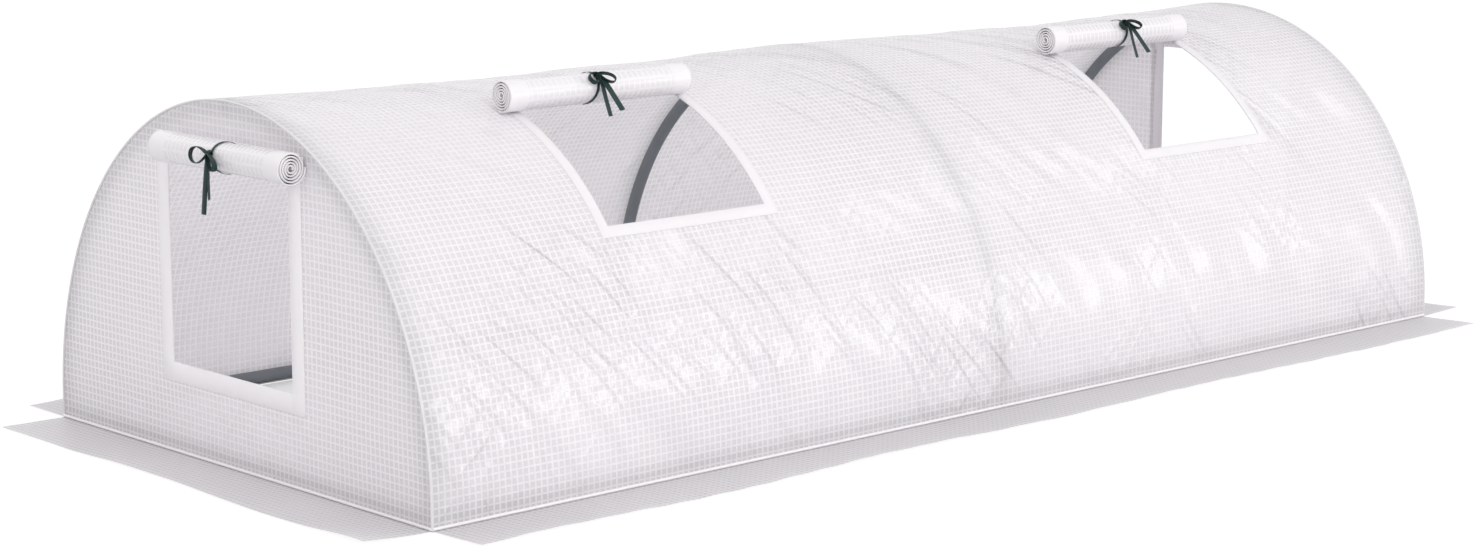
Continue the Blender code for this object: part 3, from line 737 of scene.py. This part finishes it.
SKIRTS = {
    "front": (2 * HALF_WIDTH, (-SKIRT_X, 0, 0), (-1, 0, 0), (0, -1, 0), 41),
    "rear": (2 * HALF_WIDTH, (SKIRT_X, 0, 0), (1, 0, 0), (0, 1, 0), 52),
    "left": (2 * HALF_LENGTH, (0, SKIRT_Y, 0), (0, 1, 0), (-1, 0, 0), 63),
    "right": (2 * HALF_LENGTH, (0, -SKIRT_Y, 0), (0, -1, 0), (1, 0, 0), 75),
}
for place, settings in SKIRTS.items():
    skirt(place, *settings)
print("skirts:", ", ".join(SKIRTS))

# %% [markdown]
# ## Tapes round the openings
#
# A band of doubled film edges each opening. On a window it follows the curved wall, lifted by
# a fraction of a millimetre, with its rim rounded down so that it catches light along the edge.
# The door tapes are the same on a flat panel.


# %% Tapes
DOOR_TAPE = (0.032, 0.032, 0.032, 0.018)
WINDOW_TAPE = (0.0205, 0.0205, 0.0205, 0.0205)
TAPE_THICK = 0.0016
RIM_STEP = 0.0012


def rim(distance, width=0.0025):
    """0 at an edge, 1 away from it, rounded between."""
    return np.sqrt(unit(1 - (1 - unit(distance / width)) ** 2))


def tape_stops(low, high, before, after):
    """Grid lines at the edges of a tape and close to them, where its rim rounds down."""
    first, last = low - before, high + after
    return [first, first + RIM_STEP, low - RIM_STEP, low, high, high + RIM_STEP, last - RIM_STEP, last]


def ring_distance(u, v, us, vs, wide):
    """How far a point of a tape is from its nearer edge. wide is its width left, right, below and above."""
    outer = [u - us[0] + wide[0], us[1] + wide[1] - u, v - vs[0] + wide[2], vs[1] + wide[3] - v]
    inner = np.maximum.reduce([us[0] - u, u - us[1], vs[0] - v, v - vs[1]])
    return np.maximum(np.minimum(np.minimum.reduce(outer), inner), 0)


def tape(name, material, us, vs, wide, step, heights, put):
    """A band round an opening. Its heights are that of its edge and the rise of its middle."""
    rows, columns = spaced(tape_stops(*us, *wide[:2]), step), spaced(tape_stops(*vs, *wide[2:]), step)
    grid_u, grid_v = grid(rows, columns)
    height = heights[0] + heights[1] * rim(ring_distance(grid_u, grid_v, us, vs, wide))
    return sheet_object(
        f"{name}_band", put(grid_u, grid_v, height), rows, columns, material,
        keep=lambda u, v: (u < us[0]) | (u > us[1]) | (v < vs[0]) | (v > vs[1]),
        thickness=TAPE_THICK, offset=-1,
    )


for place, sign in ENDS:
    name, centre = f"window_tape_{place}", WINDOW_MIDDLES[place]
    us = (centre - WINDOW_HALF, centre + WINDOW_HALF)
    band = tape(name, WALL_TAPE, us, WINDOW_S, WINDOW_TAPE, 0.01, (0.0004, 0.0009), cover_point)
    stand_for(band, name)

    def on_panel(y, z, height):
        return np.stack([sign * (HALF_LENGTH + height), y, z], axis=-1)

    name, us, vs = f"door_tape_{place}", (-DOOR_HALF, DOOR_HALF), (DOOR_LOW, DOOR_HIGH)
    band = tape(name, TAPE, us, vs, DOOR_TAPE, 0.02, (0.0002, 0.0011), on_panel)
    if sign < 0:
        band.data.flip_normals()
    stand_for(band, name)
print("tapes round 2 windows and 2 doors")

# %% [markdown]
# ## Tubes and beads with Geometry Nodes
#
# A tube, a welt and a bead are all a round section carried along a path, so one Geometry Nodes
# tree makes them. Its inputs are the radius, the number of sides and the material, and the
# object it sits on is only the path, a chain of points.


# %% The sweep tree
def sweep_tree():
    tree = bpy.data.node_groups.new("sweep along a path", "GeometryNodeTree")
    tree.interface.new_socket("Geometry", in_out="OUTPUT", socket_type="NodeSocketGeometry")
    ids = {}
    for name, kind in (("Path", "Geometry"), ("Radius", "Float"), ("Sides", "Int"), ("Material", "Material")):
        socket = tree.interface.new_socket(name, in_out="INPUT", socket_type="NodeSocket" + kind)
        ids[name] = socket.identifier
    new, link = tree.nodes.new, tree.links.new
    start, end = new("NodeGroupInput"), new("NodeGroupOutput")
    circle = new("GeometryNodeCurvePrimitiveCircle")
    kinds = ("MeshToCurve", "CurveToMesh", "SetShadeSmooth", "SetMaterial")
    curve, tube, smooth, paint = (new("GeometryNode" + kind) for kind in kinds)
    tube.inputs["Fill Caps"].default_value = True
    chain = (start, curve, tube, smooth, paint, end)
    for before, after in zip(chain, chain[1:]):
        link(before.outputs[0], after.inputs[0])
    link(start.outputs["Sides"], circle.inputs["Resolution"])
    link(start.outputs["Radius"], circle.inputs["Radius"])
    link(circle.outputs[0], tube.inputs["Profile Curve"])
    link(start.outputs["Material"], paint.inputs["Material"])
    return tree, ids


def path_object(name, chains):
    """An object of edges only: each chain is a list of points."""
    points, edges = [], []
    for chain in chains:
        first = len(points)
        points += [tuple(float(value) for value in point) for point in chain]
        edges += [(first + number, first + number + 1) for number in range(len(chain) - 1)]
    mesh = bpy.data.meshes.new(name)
    mesh.from_pydata(points, edges, [])
    return add_object(name, mesh)


SWEEP, SWEEP_IDS = sweep_tree()


def swept(name, chains, radius, sides, material):
    """Runs the tree on a path and keeps its result as a plain mesh."""
    path = path_object(name + " path", chains)
    modifier = path.modifiers.new("nodes", "NODES")
    modifier.node_group = SWEEP
    for key, value in (("Radius", radius), ("Sides", sides), ("Material", material)):
        modifier[SWEEP_IDS[key]] = value
    bpy.context.view_layer.update()
    graph = bpy.context.evaluated_depsgraph_get()
    mesh = bpy.data.meshes.new_from_object(path.evaluated_get(graph))
    mesh.name = name
    mesh.set_sharp_from_angle(angle=radians(50))
    bpy.data.objects.remove(path)
    made = add_object(name, mesh)
    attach(made, "greenhouse")
    return made


# %% [markdown]
# The frame is three hoops on a rectangle of ground tubes. Each hoop comes in two halves that
# meet at the crest, and every tube stops at a moulded joint, which is the CAD node itself.

# %% Frame tubes
TUBE_RADIUS = 0.011
RAIL_HEIGHT = 0.017
HOOP_INSET = 0.0135
HOOP_Y = HALF_WIDTH - HOOP_INSET
HOOP_X = HALF_LENGTH - HOOP_INSET
TUBE_END = 0.0113
CREST_SHORT = 0.012
TUBE_SIDES = 32
paths = {}
for place, x in (("front", -HOOP_X), ("middle", 0.0), ("rear", HOOP_X)):
    for side, sign in SIDES:
        y, z, _, _ = arch_corner(np.linspace(0, pi / 2 - CREST_SHORT / HOOP_Y, 49), HOOP_INSET)
        foot = (x, sign * HOOP_Y, RAIL_HEIGHT + TUBE_END)
        paths[f"hoop_{place}_{side}"] = [foot] + [(x, -sign * across, up) for across, up in zip(y, z)]
for part, start, end in (("front", -HOOP_X, 0.0), ("rear", 0.0, HOOP_X)):
    for side, sign in SIDES:
        ends = (start + TUBE_END, end - TUBE_END)
        paths[f"base_rail_{side}_{part}"] = [(x, sign * HOOP_Y, RAIL_HEIGHT) for x in ends]
reach = HOOP_Y - TUBE_END
for place, sign in ENDS:
    paths[f"ground_bar_{place}"] = [(sign * HOOP_X, y, RAIL_HEIGHT) for y in (-reach, reach)]
for name, path in paths.items():
    tube = swept(f"{name}_tube", [path], TUBE_RADIUS, TUBE_SIDES, TUBE)
    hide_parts(name)
for name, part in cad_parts.items():
    if "joint" in name:
        part.data.materials.clear()
        part.data.materials.append(JOINT)
        part.data.shade_smooth()
        part.data.set_sharp_from_angle(angle=radians(35))
print("frame tubes:", len(paths))

# %% Beads and welts
BEAD_RADIUS = 0.0018
BEAD_INSET = 0.0006
BEAD_FOOT = 0.003
WELT_RADIUS = 0.0026
WELT_OUT = 0.0012
WELT_HEIGHT = 0.0042
for place, sign in ENDS:
    x = sign * (HALF_LENGTH + BEAD_INSET)
    y, z, _, _ = arch_corner(np.linspace(0, pi, 97), BEAD_INSET)
    feet = [(x, y * (HALF_WIDTH - BEAD_INSET), BEAD_FOOT) for y in (-1, 1)]
    chain = [feet[0], *((x, across, up) for across, up in zip(y, z)), feet[1]]
    bead = swept(f"end_bead_{place}_piping", [chain], BEAD_RADIUS, 10, BEAD_WITH_SHADE)
    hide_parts(f"end_bead_{place}")
welts = []
for sign in (-1, 1):
    y = sign * (HALF_WIDTH + WELT_OUT)
    welts.append([(x, y, WELT_HEIGHT) for x in np.linspace(-HALF_LENGTH, HALF_LENGTH, 60)])
    x = sign * (HALF_LENGTH + WELT_OUT)
    welts.append([(x, y, WELT_HEIGHT) for y in np.linspace(-HALF_WIDTH, HALF_WIDTH, 30)])
swept("foot_welts", welts, WELT_RADIUS, 8, TAPE)
print("beads: 2, foot welts:", len(welts))

# %% [markdown]
# ## The rolls
#
# Each flap is rolled up on itself, about five turns, and tied. The end of a roll shows the
# spiral, with dark gaps between the turns, so the roll is a real wound sheet. Hand-rolled film
# is never perfect, so the radius wanders a little along the length, and the doubled bands at
# both ends make it thicker there.
#
# The path is drawn in the roll's own directions: out of the wall, down the wall, and along.


# %% Roll builder
ROLL_RADIUS = 0.0254
ROLL_CORE = 0.003
FLAP_LINE = 0.0024
ROLL_PITCH = 0.00439
ROLL_TURNS = (ROLL_RADIUS - ROLL_CORE) / ROLL_PITCH
ROLL_THICK = 0.0023
DOOR_ROLL_SHIFT = 0.0375
WINDOW_ROLL_TURN = radians(70.5)
WINDOW_ROLL_DROP = {"front": 0.00439, "rear": 0.00429}
WINDOW_ROLL_SHIFT = 0.016
DOOR_KNOT_ANGLE = 194
WINDOW_KNOT_ANGLE = 160
STEPS_A_TURN = 40


class Seat:
    """Where a roll lies: a point on the wall and the ways out of it, down it and along the roll."""

    def __init__(self, point, out, down, along, knot_angle):
        self.point, self.out, self.down, self.along = np.array([point, out, down, along], float)
        self.knot_angle = radians(knot_angle)

    def moved(self, along):
        """The same seat further along the roll."""
        return Seat(self.at(0, 0, along), self.out, self.down, self.along, self.knot_angle * 180 / pi)

    def at(self, out, down, along):
        out, down, along = (np.asarray(value, float)[..., None] for value in (out, down, along))
        return self.point + out * self.out + down * self.down + along * self.along

    def round_roll(self, angle, clear, along=0.0):
        """A point round the roll: the angle is from the wall side, by way of the lower side."""
        angle = np.asarray(angle, float)
        radius = ROLL_RADIUS - ROLL_PITCH * angle / (2 * pi) + clear
        out = FLAP_LINE + ROLL_RADIUS - radius * np.cos(angle)
        return self.at(out, radius * np.sin(angle), along + 0 * angle)

    def outward(self, angle):
        return self.down * sin(angle) - self.out * cos(angle)


def door_seat(sign):
    point = (sign * HALF_LENGTH, sign * DOOR_ROLL_SHIFT, DOOR_HIGH)
    return Seat(point, (sign, 0, 0), (0, 0, -1), (0, sign, 0), DOOR_KNOT_ANGLE)


def window_seat(place):
    y, z, out_y, out_z = arch_corner(WINDOW_ROLL_TURN, WINDOW_ROLL_DROP[place])
    x = WINDOW_MIDDLES[place] - WINDOW_ROLL_SHIFT
    return Seat((x, y, z), (0, out_y, out_z), (0, -out_z, out_y), (-1, 0, 0), WINDOW_KNOT_ANGLE)


def roll(name, seat, half, material, seed):
    """A flap wound up: its first edge is tucked against the wall side, and its end bands are thicker."""
    steps = round(ROLL_TURNS * STEPS_A_TURN)
    turn = 2 * pi * ROLL_TURNS * np.arange(steps + 1) / steps
    along = spaced([-half, -half + 0.003, -half + BAND_WIDTH, half - BAND_WIDTH, half - 0.003, half], 0.008)
    grid_t, grid_a = grid(turn, along)
    from_end = half - np.abs(grid_a)
    band = 1 / (1 + np.exp((from_end - BAND_WIDTH) / 0.003))
    shrink = 0.94 + 0.06 * band
    uneven = 0.0003 * waves(grid_t * ROLL_RADIUS * 0.4, grid_a, seed, 6, 0.07) * (1 - band)
    radius = (ROLL_RADIUS - ROLL_PITCH * grid_t / (2 * pi)) * shrink + uneven
    lag = 0.0005 * waves(grid_t * 0.01, 0 * grid_a, seed + 1, 3, 0.05)
    tuck = unit(1 - grid_t / 0.9)
    radius = radius + (ROLL_RADIUS - radius) * tuck
    points = seat.at(FLAP_LINE + ROLL_RADIUS - radius * np.cos(grid_t), radius * np.sin(grid_t), grid_a + lag)
    length = turn * (ROLL_RADIUS + ROLL_CORE) / 2
    return sheet_object(name, np.swapaxes(points, 0, 1), along, length, material, thickness=ROLL_THICK)


# %% Ribbon builder
RIBBON_WIDE = 0.0105
RIBBON_THICK = 0.0006


def smooth_path(points, count):
    """A Catmull-Rom curve through the points, at even spacing."""
    points = np.asarray(points, float)
    padded = np.vstack([2 * points[0] - points[1], points, 2 * points[-1] - points[-2]])
    fine = []
    for number in range(len(points) - 1):
        p0, p1, p2, p3 = padded[number : number + 4]
        for t in np.linspace(0, 1, 16, endpoint=False):
            square, cube = 2 * p0 - 5 * p1 + 4 * p2 - p3, 3 * p1 - p0 - 3 * p2 + p3
            fine.append(0.5 * (2 * p1 + (p2 - p0) * t + square * t**2 + cube * t**3))
    fine = np.array(fine + [points[-1]])
    far = np.concatenate([[0], np.cumsum(np.linalg.norm(np.diff(fine, axis=0), axis=1))])
    wanted = np.linspace(0, far[-1], count)
    return np.stack([np.interp(wanted, far, fine[:, axis]) for axis in range(3)], axis=-1), wanted


def ribbon_strip(path, distance, across, curl=0.0, width=RIBBON_WIDE):
    """Points and UVs of a ribbon: across is the way across it at each point, curl bends it in section."""
    across = np.broadcast_to(across, path.shape)
    across = across / np.linalg.norm(across, axis=1, keepdims=True)
    tangent = np.gradient(path, axis=0)
    normal = np.cross(tangent, across)
    normal = normal / np.maximum(np.linalg.norm(normal, axis=1, keepdims=True), 1e-9)
    shares = np.linspace(-0.5, 0.5, 5)
    points = path[:, None] + across[:, None] * shares[None, :, None] * width
    points = points + normal[:, None] * (curl * (4 * shares**2 - 0.5))[None, :, None]
    return points, distance, shares * width


def bound_strips(name, strips, material):
    """Joins strips of points into one object with one UV map."""
    points, faces, uvs = [], [], []
    for rows, distance, across in strips:
        faces += grid_quads(*rows.shape[:2], len(points)).reshape(-1, 4).tolist()
        grid_v, grid_u = grid(distance, across)
        points += rows.reshape(-1, 3).tolist()
        uvs += np.stack([grid_u, grid_v], axis=-1).reshape(-1, 2).tolist()
    return mesh_object(name, points, faces, uvs, material, thickness=RIBBON_THICK)


# %% Ties
BAND_CLEAR = 0.0013
BAND_SHIFT = 0.016
BAND_WIDE = 0.0052
BAND_STEPS = 60
LOOP_WIDE = 0.0095
LOOP_STEPS = 52
TAIL_STEPS = 40
KNOT_WIDE = 0.0082
KNOT_OUT = 0.0042
KNOT_SIZE = (0.0052, 0.0036)
UP = np.array((0, 0, 1.0))


def tie(name, seat, loops, tails):
    """A band round the roll, a knot, two loops and two tails.

    Loops are (side, droop in degrees, length, height, swing along the roll). A tail starts with
    the way across its ribbon; its points are (along, out, straight down, down the wall), in mm.
    """
    angles = np.radians(np.linspace(24, 330, BAND_STEPS))
    shift = BAND_SHIFT * (1 - np.cos(angles - seat.knot_angle)) / 2
    band = seat.round_roll(angles, BAND_CLEAR, shift)
    strips = [ribbon_strip(band, np.linspace(0, 0.15, BAND_STEPS), seat.along, 0.0002, width=BAND_WIDE)]
    out = seat.outward(seat.knot_angle)
    knot = seat.round_roll(seat.knot_angle, KNOT_OUT)
    level = out * (1, 1, 0) / np.hypot(out[0], out[1])
    for side, droop, length, height, swing in loops:
        face = out + 0.4 * level + swing * seat.along
        face = face / np.linalg.norm(face)
        hang = face * face[2] - UP
        way = seat.along * side - face * (seat.along @ face) * side
        hang, way = hang / np.linalg.norm(hang), way / np.linalg.norm(way)
        way = way * cos(radians(droop)) + hang * sin(radians(droop))
        turn = np.linspace(0, 2 * pi, 13)
        reach = 0.001 + length * (1 - np.cos(turn)) / 2
        rise = 0.62 * height * np.sin(turn) * np.sin(turn / 2) ** 0.7
        lift = 0.003 + 0.0035 * np.sin(turn / 2)
        points = knot + reach[:, None] * way + rise[:, None] * np.cross(face, way) + lift[:, None] * out
        path, distance = smooth_path(points, LOOP_STEPS)
        twist = np.linspace(-0.3, 0.3, LOOP_STEPS)[:, None]
        strips.append(ribbon_strip(path, distance, face + twist * way, 0.0005, width=LOOP_WIDE))
    for across, *points in tails:
        metres = np.array(points) / 1000
        route = [knot + seat.along * a + out * o - UP * h + seat.down * d for a, o, h, d in metres]
        path, distance = smooth_path(route, TAIL_STEPS)
        strips.append(ribbon_strip(path, distance, np.array(across, float), 0.0008))
    height = np.cross(out, seat.along)
    turn = np.linspace(0, 2 * pi, 25)
    for tilt, size in ((0.25, 1.0), (-0.3, 0.92)):
        wide, deep = np.cos(turn) * KNOT_SIZE[0] * size, np.sin(turn) * KNOT_SIZE[1] * size
        wrap = knot + np.outer(wide, height + tilt * seat.along) + np.outer(deep, out)
        strips.append(ribbon_strip(wrap, turn * 0.005, seat.along - tilt * height, -0.0012, width=KNOT_WIDE))
    return bound_strips(name, strips, RIBBON)


DOOR_LOOPS = [(-1, 14, 0.028, 0.025, 0.5), (1, 42, 0.034, 0.014, 0.0)]
WINDOW_LOOPS = [(1, 35, 0.024, 0.018, 0.0), (-1, 40, 0.034, 0.015, 0.5)]
DOOR_TAILS = [
    [(-0.15, 1, 0), (0, 1, 0, 0), (-4, 3, 20, 0), (-10, 3, 55, 0), (-17, 2, 94, 0)],
    [(1, 0.8, 0), (0, 2, 0, 0), (3, 5, 16, 0), (4, 6, 45, 0), (3, 5, 70, 0)],
]
WINDOW_TAILS = [
    [(0.97, 0.26, 0), (0, 1, 0, 0), (0, 2, 6, 10), (-3, 7, 37, 15), (-6, 19, 73, 15)],
    [(1, 0, 0.1), (0, 2, 0, 0), (-4, 2, 7, 15), (-8, 1, 20, 34), (-12, 0, 34, 52)],
]

# %% Hang the flaps
# How far each tie is from the middle of its roll
TIES = {"door_front": 0.0, "door_rear": 0.0, "window_front": 0.008, "window_rear": -0.014}
HEAD_TRIM = 0.006
HEAD_THICK = 0.0008
FIRST_SEED = 80
rolls = 0
for place, sign in ENDS:
    for kind, seat, half, loops, tails, deep in (
        ("door", door_seat(sign), DOOR_FLAP_HALF, DOOR_LOOPS, DOOR_TAILS, 0.014),
        ("window", window_seat(place), WINDOW_FLAP_HALF, WINDOW_LOOPS, WINDOW_TAILS, 0.024),
    ):
        body = f"{kind}_flap_{place}"
        made = roll(f"{kind}_roll_{place}_wound", seat, half, FLAPS[kind], FIRST_SEED + 3 * rolls)
        stand_for(made, f"{kind}_roll_{place}", body)
        2 * half
        bow = tie(f"{kind}_tie_{place}_bow", seat.moved(TIES[f"{kind}_{place}"]), loops, tails)
        stand_for(bow, f"{kind}_tie_{place}", body)

        down = np.linspace(-deep, 0.0, 33)
        along = spaced([HEAD_TRIM - half, half - HEAD_TRIM], 0.011)
        grid_d, grid_a = grid(down, along)
        points = seat.at(FLAP_LINE + 0 * grid_d, grid_d, grid_a)
        head = sheet_object(
            f"{kind}_flap_head_{place}_cloth", np.swapaxes(points, 0, 1), along, down, TAPE,
            thickness=HEAD_THICK,
        )
        tuple(seat.at(0, -deep, 0))
        tuple(seat.at(0, 0, 0))
        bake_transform(head)
        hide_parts(f"{kind}_flap_head_{place}")
        size = (2 * half - 2 * HEAD_TRIM, deep)
        rolls += 1
print("rolled flaps:", rolls)

# %% [markdown]
# ## Studio
#
# The photo is a cut-out on pure white. The floor is pale and takes a soft shadow, and rays from
# the camera see it and the world as near white, so the background is white without more light
# on the object. Inside the tunnel footprint a mask cuts the floor's glow down, a painted shade
# under the cover, as the photo shows it. The world gives an even fill, low enough that white film
# doesn't clip. One long soft box stands low on the window side: mirrored in the film, it makes the
# bright broken band along the wall.

# %% Floor, world and lights
FILL = 0.79
BACKDROP = 1.02
world = bpy.data.worlds.new("studio")
bpy.context.scene.world = world
world.use_nodes = True
sky = Maker(world.node_tree)
rays = sky.node("ShaderNodeLightPath")
seen = rays.outputs["Is Camera Ray"]
for ray in ("Is Transmission Ray", "Is Glossy Ray"):
    seen = sky.math("MAXIMUM", seen, rays.outputs[ray])
strength = sky.node("ShaderNodeMapRange", None, seen, 0, 1, FILL, BACKDROP)
ambient = sky.nodes["Background"]
sky.put(ambient, "Strength", strength.outputs["Result"])
sky.put(ambient, "Color", (1, 1, 1, 1))

FLOOR_HALF = 14
FLOOR_DOWN = 0.0008
FOOTPRINT_INSET = 0.015
FOOTPRINT_SIDE_INSET = 0.004
GLOW = 1.12
floor_mesh = bpy.data.meshes.new("floor")
corners = [(x * FLOOR_HALF, y * FLOOR_HALF, -FLOOR_DOWN) for x, y in ((-1, -1), (1, -1), (1, 1), (-1, 1))]
floor_mesh.from_pydata(corners, [], [(0, 1, 2, 3)])
floor = add_object("floor", floor_mesh)
paper = Finish("studio paper")
paper.set(Base_Color=(0.86, 0.86, 0.87, 1), Roughness=0.9)
glow = paper.node("ShaderNodeEmission", Color=(1, 1, 1, 1), Strength=GLOW)
eye = paper.node("ShaderNodeLightPath")
x, y, _ = paper.axes(paper.place())
# The floor's glow is cut down inside the tunnel footprint: painted shade under the cover, on top of its real
# shadow.
along_inside = paper.math("LESS_THAN", abs(x), HALF_LENGTH - FOOTPRINT_INSET)
across_inside = paper.math("LESS_THAN", abs(y), HALF_WIDTH - FOOTPRINT_SIDE_INSET)
inside = along_inside * across_inside
paper.mix_in(Sum(paper, eye.outputs["Is Camera Ray"]) * (0.8 - 0.43 * inside), glow)
floor_mesh.materials.append(paper.material)


def soft_box(name, place, target, width, height, power):
    data = bpy.data.lights.new(name, "AREA")
    data.shape = "RECTANGLE"
    data.size, data.size_y, data.energy = width, height, power
    lamp = add_object(name, data)
    lamp.location = place
    lamp.rotation_euler = (Vector(target) - Vector(place)).to_track_quat("-Z", "Y").to_euler()
    lamp.visible_camera = False


LAMPS = {
    "key": ((-1.6, -4.4, 3.0), (0, 0, 0.3), 1.8, 1.2, 58),
    "strip": ((4.5, -6.1, 1.3), (0.1, -0.45, 0.12), 3.2, 1.2, 78),
    "side": ((3.3, -2.1, 3.0), (0.3, -0.35, 0.4), 1.0, 0.7, 10),
    "front": ((-4.6, -1.0, 2.2), (-1.0, 0, 0.3), 2.0, 1.5, 9),
    "back": ((-1.0, 3.5, 4.0), (0, 0, 0.4), 7.0, 4.5, 42),
}
for name, settings in LAMPS.items():
    soft_box(name, *settings)
print("lamps:", len(LAMPS))
